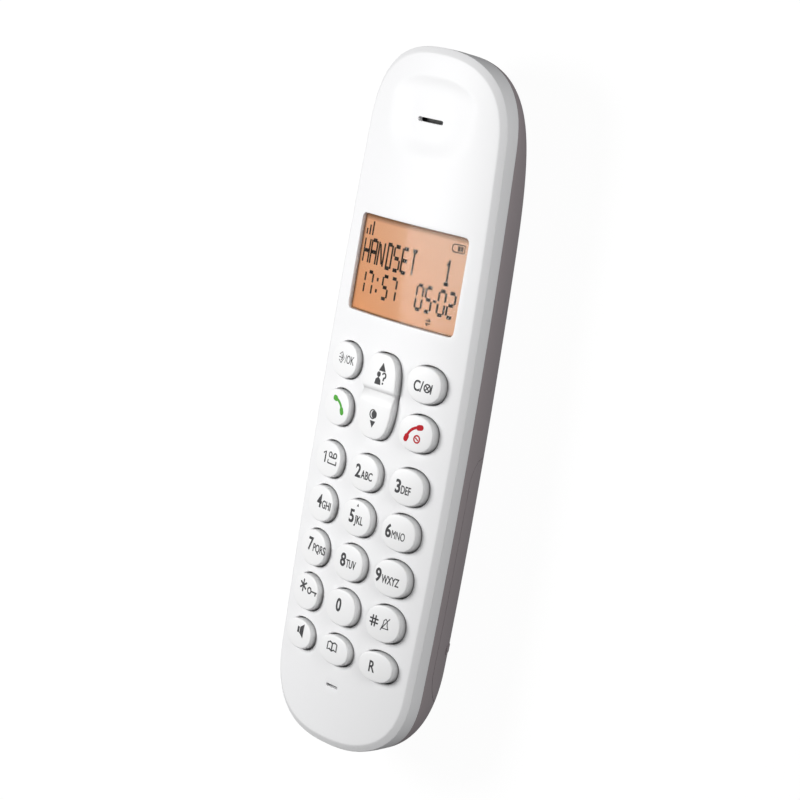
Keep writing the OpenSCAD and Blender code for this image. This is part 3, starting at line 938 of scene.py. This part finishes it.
def door_cover():
    """The battery door, with its thumb ridge and the ribs that steady the cells."""
    piece = rear_solid("door_cover", 0)
    boolean(piece, rear_solid("inner", DOOR_WALL))
    boolean(piece, door_block(0), "INTERSECT")
    length, proud = RIDGE_SIZE
    ridge = rear_solid("ridge", -proud)
    boolean(ridge, rear_solid("inner", DOOR_WALL / 2))
    band = block("band", 0, RIDGE_Y, 2 * HALF_W, length, *RIDGE_HIGH, soft=0.3)
    boolean(ridge, band, "INTERSECT")
    parts = [piece, ridge]
    for s in (-1, 1):
        rib = block("rib", 0, CELL_Y + s * DOOR_RIB_OFF, 2 * HALF_W, *DOOR_RIB)
        boolean(rib, rear_solid("inner", DOOR_WALL - 0.3), "INTERSECT")
        parts.append(rib)
    place(joined("door_cover", parts), "door", "grey_shell", "battery_door", angle=24)


# ---- display ----

RECESS = 0.5
PANEL_LAP = 0.7  # how far the panel runs past the window
PANEL_DROP = RECESS + 0.62


def curved_sheet(name, w, h, r, drop, thickness, used):
    """A thin sheet parallel to the crowned face."""
    loop = rounded_rect(WINDOW[0], WINDOW[1], w, h, r)
    flat, triangles = filled(loop, 1.2)
    solid = Solid()
    z = crown(flat[:, 0]) - drop
    top = solid.surface(flat, triangles, z)
    under = solid.surface(flat, triangles, z - thickness)
    solid.join((top, len(loop)), (under, len(loop)))
    return solid.made(name, used)


def display():
    w, h = WINDOW_SIZE[:2]
    panel = curved_sheet("display_panel", w + 2 * PANEL_LAP, h + 2 * PANEL_LAP, 1.0, PANEL_DROP, 0.4, DISPLAY)
    place(panel, "handset", "lcd", "lcd_glass")
    window = curved_sheet("window_lens", w - 0.05, h - 0.05, 1.1, RECESS, 0.5, WINDOW_CLEAR)
    place(window, "handset", "window", "display_window")


# ---- printing ----


class Print:
    """Flat shapes that are laid on a surface as a thin film, in places from an origin."""

    def __init__(self, surface, lift=0.035, sink=0.03, origin=(0, 0)):
        self.surface, self.lift, self.sink, self.origin = surface, lift, sink, origin
        self.points, self.faces = [], []

    def point(self, x, y, up):
        x, y = x + self.origin[0], y + self.origin[1]
        self.points.append((x, y, float(self.surface(x, y)) + up))

    def shape(self, outline):
        """A filled outline."""
        start, n = len(self.points), len(outline)
        for up in (self.lift, -self.sink):
            for x, y in outline:
                self.point(x, y, up)
        self.faces += [tuple(range(start, start + n)), tuple(range(start + n, start + 2 * n))]
        self.faces += strip((start, n), (start + n, n))

    def stroke(self, line, width, round_ends=True):
        """A line of even width through some points."""
        line = np.array(line, float)
        ahead = np.gradient(line, axis=0)
        ahead /= np.linalg.norm(ahead, axis=1)[:, None]
        side = np.column_stack([-ahead[:, 1], ahead[:, 0]]) * width / 2
        left, right = line + side, line - side
        ends = []
        for at, out in ((line[-1], ahead[-1]), (line[0], -ahead[0])):
            turned = degrees(atan2(out[1], out[0]))
            ends.append(arc(*at, width / 2, turned - 90, turned + 90, 7 if round_ends else 0))
        outline = [*map(tuple, right), *ends[0], *map(tuple, left[::-1]), *ends[1]]
        self.shape(without_repeats(outline))

    def bar(self, *place):
        self.shape(rectangle(*place))

    def disc(self, x, y, r):
        self.shape(arc(x, y, r, 0, 360, 25)[:-1])

    def ring(self, x, y, r, width, start=0, end=360):
        """A circle, or part of one, drawn with a pen. Its two ends just meet."""
        self.stroke(arc(x, y, r, start, end, 33), width, round_ends=end - start < 360)

    def text(self, words, x, y, height, weight, squeeze):
        """A line of text from x, standing on y. Returns where it ends."""
        points, faces = glyphs(words, height, weight)
        start = len(self.points)
        for px, py, pz in points:
            self.point(x + px * squeeze, y + py, self.lift if pz > 0 else -self.sink)
        self.faces += [tuple(start + i for i in face) for face in faces]
        return x + points[:, 0].max() * squeeze

    def finish(self, name, used, body):
        piece = new_object(name, self.points, self.faces, used, weld=False)
        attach(piece, body)


def without_repeats(outline):
    """The same closed outline without points that fall together."""
    kept = []
    for p in outline:
        if not kept or dist(p, kept[-1]) > 1e-3:
            kept.append(p)
    if dist(kept[0], kept[-1]) < 1e-3:
        kept.pop()
    return kept


def raw_glyphs(words, weight):
    """Points and faces of a line of text in the built-in font, at its own size."""
    curve = bpy.data.curves.new("text", "FONT")
    curve.body = words
    curve.extrude = 1.0
    curve.offset = weight
    curve.resolution_u = 4
    holder = linked("text", curve)
    bpy.context.view_layer.update()
    graph = bpy.context.evaluated_depsgraph_get()
    mesh = bpy.data.meshes.new_from_object(holder.evaluated_get(graph))
    points = np.array([v.co for v in mesh.vertices], float)
    faces = [tuple(p.vertices) for p in mesh.polygons]
    bpy.data.objects.remove(holder)
    return points, faces


CAPITAL = np.ptp(raw_glyphs("H", 0.0)[0][:, 1])


def glyphs(words, height, weight):
    """Points and faces of a line of text, with capitals of a height, from x = 0."""
    points, faces = raw_glyphs(words, weight)
    points[:, :2] *= height / CAPITAL
    points[:, 0] -= points[:, 0].min()
    return points, faces


DIGIT_H = 2.75
LETTER_H = 1.75
DIGIT_WEIGHT = 0.028
LETTER_WEIGHT = 0.016
LEGEND_GAP = 0.35
LEGEND_SQUEEZE = 0.74
DIGIT_SQUEEZE = 0.92
LETTERS = dict(zip("23456789", "ABC DEF GHI JKL MNO PQRS TUV WXYZ".split()))


def width_of(words, height, weight, squeeze):
    return glyphs(words, height, weight)[0][:, 0].max() * squeeze


def legend_place(x, y):
    """Middle of a key's legend.

    They sit closer together than the keys, and creep up to the left and the foot.
    """
    return x * 0.92 + 0.28, y + 0.35 - 0.024 * x - 0.012 * (y + 31)


def number_legend(ink, digit):
    """A digit with its small letters, set as one line."""
    letters = LETTERS[digit]
    weight = 0 if "M" in letters else LETTER_WEIGHT
    wide = width_of(digit, DIGIT_H, DIGIT_WEIGHT, LEGEND_SQUEEZE)
    total = wide + LEGEND_GAP + width_of(letters, LETTER_H, weight, LEGEND_SQUEEZE)
    x = (0.3 if digit in "369" else 0) - total / 2
    # the right-hand letters are set closer than the left-hand ones
    spread = LEGEND_SQUEEZE * (0.87 if digit in "3689" else 1.05 if digit in "47" else 1.0)
    end = ink.text(digit, x, -DIGIT_H / 2, DIGIT_H, DIGIT_WEIGHT, DIGIT_SQUEEZE)
    ink.text(letters, end + LEGEND_GAP * 0.7, -DIGIT_H / 2, LETTER_H, weight, spread)


def plain_legend(words, height, weight, shift=0.0, rise=0.0):
    def draw(ink):
        wide = width_of(words, height, weight, 0.86)
        ink.text(words, shift - wide / 2, rise - height / 2, height, weight, 0.86)

    return draw


# the signs below are drawn from the middle of their legend, each stroke with its pen's width


def handset_icon(ink, a, b, bulge):
    """A small telephone receiver from a to b that swells to the left of the way by bulge."""
    a, b = np.array(a, float), np.array(b, float)
    way = b - a
    side = np.array([-way[1], way[0]]) / np.linalg.norm(way)
    line = [tuple(a + t * way + side * bulge * 4 * t * (1 - t)) for t in np.linspace(0, 1, 13)]
    ink.stroke(line, 0.62)
    for near, far in ((line[0], line[3]), (line[-1], line[-4])):
        ink.stroke([near, tuple(np.array(near) + (np.array(far) - near) * 0.5)], 1.25)


def talk_legend(ink):
    handset_icon(ink, (-2.3, 1.6), (1.2, -1.1), 0.75)


def end_legend(ink):
    handset_icon(ink, (-1.55, -1.25), (2.35, 1.95), 0.9)
    ink.ring(1.65, -0.7, 0.78, 0.34)
    ink.stroke([(1.35, -0.5), (1.95, -0.9)], 0.3)


def menu_legend(ink):
    ink.stroke([(-3.3, 0.1), (-1.9, 0.1)], 0.22)
    ink.stroke([(-2.4, 0.65), (-1.8, 0.1), (-2.4, -0.45)], 0.22)
    ink.stroke([(-3.2, 0.75), (-2.3, 1.35), (-1.3, 0.1), (-2.3, -1.1), (-3.2, -0.5)], 0.2)
    ink.text("/OK", -0.9, -0.85, 1.85, 0, 0.72)


def clear_legend(ink):
    end = ink.text("C/", -1.8, -1.1, 2.25, 0.02, 0.86)
    ink.ring(end + 1.15, -0.05, 0.85, 0.3)
    for near, far in ((0.5, -0.6), (-0.6, 0.5)):
        ink.stroke([(end + 0.6, near), (end + 1.7, far)], 0.26)
    ink.stroke([(end + 2.35, 0.85), (end + 2.2, -1.0)], 0.3)


def voicemail_legend(ink):
    foot, top = -DIGIT_H / 2, DIGIT_H / 2
    ink.stroke([(-3.0, top - 0.75), (-2.15, top - 0.2), (-2.15, foot)], 0.46, round_ends=False)
    for x in (-0.25, 1.5):
        ink.ring(x, 0.75, 0.55, 0.3)
    ink.stroke([(-0.25, 0.2), (1.5, 0.2)], 0.3)
    tray = [(-0.9, -0.5), (-0.9, -1.2), (2.2, -1.2), (2.2, -0.5)]
    for a, b in zip(tray, tray[1:]):
        ink.stroke([a, b], 0.3)


def star_legend(ink):
    for a in np.radians((90, 30, -30)):
        c, s = cos(a) * 1.25, sin(a) * 1.25
        ink.stroke([(-2.3 - c, 0.4 - s), (-2.3 + c, 0.4 + s)], 0.46)
    ink.ring(0.35, -0.2, 0.65, 0.34)
    ink.stroke([(1.0, -0.2), (3.0, -0.2)], 0.34)
    ink.stroke([(2.7, -0.2), (2.7, -0.8)], 0.34)


def hash_legend(ink):
    for s in (-0.42, 0.42):
        ink.stroke([(-1.5 + s, 1.1), (-1.65 + s, -1.1)], 0.4)
        ink.stroke([(-2.7, s), (-0.4, s)], 0.36)
    bell_x = 1.8
    bell = [(0.85, -0.95), (1.2, -0.2), (1.35, 0.8), (bell_x, 1.15)]
    bell += [(2 * bell_x - x, y) for x, y in bell[-2::-1]]
    for a, b in zip(bell, bell[1:] + bell[:1]):
        ink.stroke([a, b], 0.2)
    ink.stroke([(0.65, -1.4), (2.8, 1.4)], 0.22)


def speaker_legend(ink):
    ink.bar(-1.35, 0, 0.75, 1.35)
    for s in (-1, 1):
        ink.shape([(-0.75, 0), (0.7, 0), (0.7, s * 1.6), (-0.75, s * 0.68)])


def book_legend(ink):
    spine = -0.6
    for s in (-1, 1):
        page = [(0, 0.75), (0.8, 1.05), (1.55, 0.75), (1.55, -0.85), (0.8, -0.6), (0, -0.9)]
        ink.stroke([(spine + s * x, y) for x, y in page], 0.34)
    ink.stroke([(spine, 0.75), (spine, -1.0)], 0.34)


def navigation_legend(ink):
    ink.shape([(0.75, 7.55), (-0.35, 5.65), (1.85, 5.65)])
    ink.disc(-0.15, 4.85, 0.6)
    ink.shape([(-1.15, 2.6), (-0.95, 3.7), (-0.15, 4.3), (0.65, 3.7), (0.85, 2.6)])
    ink.ring(1.6, 4.8, 0.55, 0.38, -90, 150)
    ink.stroke([(1.6, 4.25), (1.55, 3.75)], 0.38)
    ink.disc(1.5, 3.05, 0.25)
    ink.ring(0.1, -4.0, 0.95, 0.28)
    ink.disc(0.55, -4.0, 0.85)
    ink.shape([(0.35, -6.95), (-0.55, -5.45), (1.25, -5.45)])


def five_legend(ink):
    number_legend(ink, "5")
    ink.shape([(-0.35, 2.35), (0.35, 2.35), (0, 3.0)])


LEGENDS = {
    "key_menu": menu_legend,
    "key_navigation": navigation_legend,
    "key_clear": clear_legend,
    "key_talk": talk_legend,
    "key_end": end_legend,
    "key_1": voicemail_legend,
    "key_5": five_legend,
    "key_star": star_legend,
    "key_0": plain_legend("0", DIGIT_H, DIGIT_WEIGHT, -0.75),
    "key_hash": hash_legend,
    "key_speaker": speaker_legend,
    "key_phonebook": book_legend,
    "key_recall": plain_legend("R", 2.4, LETTER_WEIGHT, 0.1, -0.35),
}
INKS = {"key_talk": GREEN_INK, "key_end": RED_INK}


def legend(node):
    """The printing on one key."""
    x, y = key_place(node)[:2]
    if node != "key_navigation":
        x, y = legend_place(x, y)
    ink = Print(key_surface(node), origin=(x, y))
    if node in LEGENDS:
        LEGENDS[node](ink)
    else:
        number_legend(ink, node[-1])
    ink.finish(node.replace("key_", "legend_"), INKS.get(node, INK), BODY_OF[node])


# strokes of the display's characters, in a cell one wide and one high
CHARACTERS = {
    "H": "left right middle",
    "A": "left right top middle",
    "N": "left right diagonal",
    "D": "inner right top foot",
    "S": "top upper_left middle lower_right foot",
    "E": "left top middle foot",
    "T": "top stem",
    "0": "upper_left lower_left upper_right lower_right top foot",
    "1": "upper_left lower_left",
    "2": "top upper_right middle lower_left foot",
    "5": "top upper_left middle lower_right foot",
    "7": "top upper_right lower_right",
}
SEGMENTS = {
    "left": (0, 0, 0, 1),
    "right": (1, 0, 1, 1),
    "inner": (0.25, 0, 0.25, 1),
    "stem": (0.45, 0, 0.45, 1),
    "diagonal": (0.2, 0.92, 0.8, 0.08),
    "upper_left": (0, 0.56, 0, 0.95),
    "lower_left": (0, 0.05, 0, 0.44),
    "upper_right": (1, 0.56, 1, 0.95),
    "lower_right": (1, 0.05, 1, 0.44),
    "top": (0.16, 1, 0.84, 1),
    "middle": (0.16, 0.5, 0.84, 0.5),
    "foot": (0.16, 0, 0.84, 0),
}


def character(ink, sign, x, y, w, h, pen, cross_pen):
    """One character of the display from its strokes."""
    for name in CHARACTERS[sign].split():
        x0, y0, x1, y1 = SEGMENTS[name]
        level = y0 == y1
        line = [(x + x0 * w, y + y0 * h), (x + x1 * w, y + y1 * h)]
        ink.stroke(line, cross_pen if level else pen, round_ends=False)


def display_print():
    """What the display shows: signal, battery, the handset's number, the time and the date."""
    ink = Print(lambda x, y: crown(x) - PANEL_DROP, 0.05, 0.05)
    name_y, time_y, date_y, mark_y = 28.3, 21.6, 21.5, 19.35
    for k, high in enumerate((1.3, 2.2, 3.1)):
        ink.bar(-16.2 + 1.15 * k, 34.4 + high / 2, 0.5, high)
    for k, sign in enumerate("HANDSET"):
        character(ink, sign, -16.2 + 2.86 * k, name_y, 2.05, 5.2, 0.5, 0.84)
    ink.stroke([(12.55, name_y), (12.55, 33.6)], 0.5, False)
    ink.stroke([(11.95, 32.2), (12.5, 33.0)], 0.55, False)
    ink.bar(12.5, name_y, 1.3, 0.8)
    for sign, x in (("1", -13.9), ("7", -12.9), ("5", -7.1), ("7", -4.2)):
        character(ink, sign, x, time_y, 1.95, 4.9, 0.54, 0.76)
    for y in (22.8, 25.3):
        ink.bar(-9.1, y, 0.62, 0.8)
    for sign, x in (("0", 4.5), ("5", 7.3), ("0", 11.2), ("2", 13.9)):
        character(ink, sign, x, date_y, 1.9, 5.2, 0.54, 0.8)
    ink.bar(10.2, 24.1, 1.0, 0.6)
    battery = [(13.1, 35.5), (16.0, 35.5), (16.0, 37.2), (13.1, 37.2), (12.6, 36.8), (12.6, 35.9)]
    ink.stroke([*battery, battery[0]], 0.26)
    ink.bar(14.45, 36.35, 0.62, 1.05)
    ink.bar(15.25, 36.35, 0.62, 1.05)
    for s in (-1, 1):
        ink.stroke([(8.7, mark_y + s * 0.3), (9.9, mark_y + s * 0.3)], 0.26)
        ink.stroke([(9.3 + s * 0.1, mark_y + s * 0.75), (9.3 + s * 0.6, mark_y + s * 0.3)], 0.26)
    ink.finish("display_segments", SEGMENT, "handset")


# ---- stage ----

CAMERA_AIM = (6.3, 1.6, FACE_TOP)
CAMERA_AZIMUTH = 10.57
CAMERA_ELEVATION = 41.54
CAMERA_ROLL = -87.31
CAMERA_DISTANCE = 604.7
CAMERA_LENS = 126.0


def camera():
    az, el = radians(CAMERA_AZIMUTH), radians(CAMERA_ELEVATION)
    back = Vector((cos(el) * cos(az), cos(el) * sin(az), sin(el)))
    data = bpy.data.cameras.new("camera")
    data.lens = CAMERA_LENS
    data.sensor_width = 36.0
    data.clip_start = 0.01
    data.clip_end = 20
    holder = linked("camera", data)
    turned = back.to_track_quat("Z", "Y").to_matrix().to_4x4()
    roll = Matrix.Rotation(radians(CAMERA_ROLL), 4, "Z")
    place_at = Matrix.Translation((Vector(CAMERA_AIM) + back * CAMERA_DISTANCE) * MM)
    holder.matrix_world = place_at @ turned @ roll
    scene.camera = holder


def area_light(name, at, size, power):
    """A round soft light that looks at the middle of the handset and isn't seen itself."""
    data = bpy.data.lights.new(name, "AREA")
    data.shape = "DISK"
    data.size = size
    data.energy = power
    light = linked(name, data)
    turned = Vector(at).to_track_quat("Z", "Y").to_matrix().to_4x4()
    light.matrix_world = Matrix.Translation(at) @ turned
    light.visible_camera = False


SKY_TOWARDS = (0.2, 0.3, -0.9)
SKY_DIM = 0.15
SKY_BRIGHT = 0.24
# places of the lights in metres, their widths and their watts
KEY_LIGHT = ((-0.215, 0.04, 0.308), 0.18, 1.31)
FILL_LIGHT = ((0.53, 0.18, 0.17), 0.25, 1.24)


def soft_sky():
    """Light from all round, brightest from below, where a pale table throws it back."""
    world = bpy.data.worlds.new("soft_sky")
    world.use_nodes = True
    tree = world.node_tree
    where = tree.nodes.new("ShaderNodeTexCoord")
    dot = tree.nodes.new("ShaderNodeVectorMath")
    dot.operation = "DOT_PRODUCT"
    dot.inputs[1].default_value = Vector(SKY_TOWARDS).normalized()
    feed(dot, 0, where.outputs["Generated"])
    strength = mapped(tree, dot.outputs["Value"], SKY_DIM, SKY_BRIGHT, -1, 1)
    feed(tree.nodes["Background"], "Strength", strength)
    tree.nodes["Background"].inputs["Color"].default_value = (0.98, 0.985, 1, 1)
    return world


def studio():
    """A floor of lit paper, the sky's light and two soft lights."""
    mesh = bpy.data.meshes.new("floor")
    mesh.from_pydata([(x, y, 0) for x, y in rectangle(0, 0, 8, 8)], [], [(0, 1, 2, 3)])
    floor = linked("floor", mesh)
    paper, _, shader = material("floor_paper")
    shader.inputs["Base Color"].default_value = (0.06, 0.06, 0.06, 1)
    shader.inputs["Roughness"].default_value = 0.9
    shader.inputs["Specular IOR Level"].default_value = 0.0
    shader.inputs["Emission Color"].default_value = (1, 1, 1, 1)
    shader.inputs["Emission Strength"].default_value = 0.96
    mesh.materials.append(paper)
    # it neither lights the handset nor keeps the sky's light from it
    floor.visible_diffuse = False
    floor.visible_glossy = False
    floor.visible_shadow = False
    scene.world = soft_sky()
    area_light("key_light", *KEY_LIGHT)
    area_light("fill_light", *FILL_LIGHT)
    scene.view_settings.view_transform = "Standard"
    scene.view_settings.look = "None"


# ---- carried-over parts ----

FINISHES = [
    (AMBER, "backlight_guide"),
    (IVORY, "lcd_holder"),
    (RUBBER, "lcd_connector earpiece_gasket earpiece_cloth microphone_boot loudspeaker_gasket"),
    (SILICONE, "keypad_mat"),
    (BOARD, "main_board"),
    (DARK_TRIM, "radio_chip"),
    (CONE, "earpiece_speaker loudspeaker"),
    (SLEEVE, "left_cell right_cell"),
    (GOLD, "antenna charge_contacts"),
    (STEEL, "dome_sheet rf_shield microphone cell_springs cell_plates case_screws board_screws"),
]


def finish_cad_parts():
    for used, nodes in FINISHES:
        for node in nodes.split():
            mesh = frame["nodes"][node].data
            mesh.materials.clear()
            mesh.materials.append(used)


camera()
studio()
finish_cad_parts()
front_cover()
for key in KEYS:
    key_cap(key)
    legend(key)
rear_cover()
screw_seats()
battery_bay()
door_cover()
display()
display_print()
